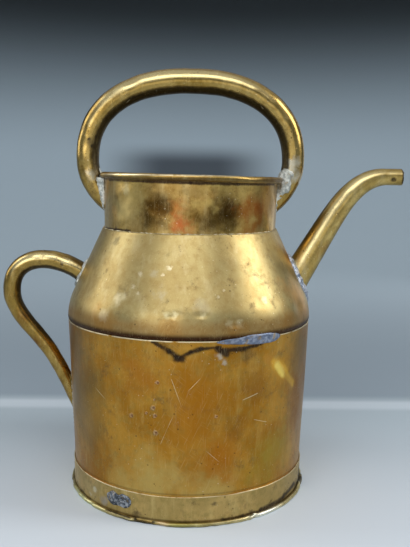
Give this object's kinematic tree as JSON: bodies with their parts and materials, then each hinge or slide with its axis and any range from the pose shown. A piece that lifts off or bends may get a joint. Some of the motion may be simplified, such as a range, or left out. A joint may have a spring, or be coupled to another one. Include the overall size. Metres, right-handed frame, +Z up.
{
  "type": "brass watering can",
  "caption": "Old sheet-brass watering can with a rolled rim, an arched tube handle over the mouth, a looped tube handle behind, a curved spout and soldered repairs.",
  "frame": {"origin": "centre of the base underside, on the body's axis, where it stands on a surface", "axes": "+Z up along the body's axis, +X towards the spout, -X towards the rear handle"},
  "size_m": [0.33, 0.2006, 0.3417],
  "materials": {
    "body_brass": "worn, warm brown-amber tarnish",
    "foot_brass": "dull olive tarnish, bright on the edges",
    "shoulder_brass": "pale, rubbed satin with light dents",
    "neck_brass": "dark and coppery patches",
    "tube_brass": "rubbed bright on top, dark underneath",
    "iron_wire": "dark",
    "white_solder": "chalky",
    "grey_solder": "dull"
  },
  "bodies": {
    "root": {"body_wall": "body_brass", "foot_band": "foot_brass", "base_disc": "foot_brass", "shoulder": "shoulder_brass", "neck_collar": "neck_brass", "rim_wire": "iron_wire", "spout": "tube_brass", "top_handle": "tube_brass", "rear_handle": "tube_brass", "neck_solder": "white_solder", "spout_solder": "white_solder", "top_handle_solder_left": "white_solder", "top_handle_solder_right": "white_solder", "rear_handle_solder_upper": "white_solder", "rear_handle_solder_lower": "white_solder", "seam_repair_solder": "grey_solder", "foot_repair_solder": "grey_solder"}
  },
  "joints": []
}
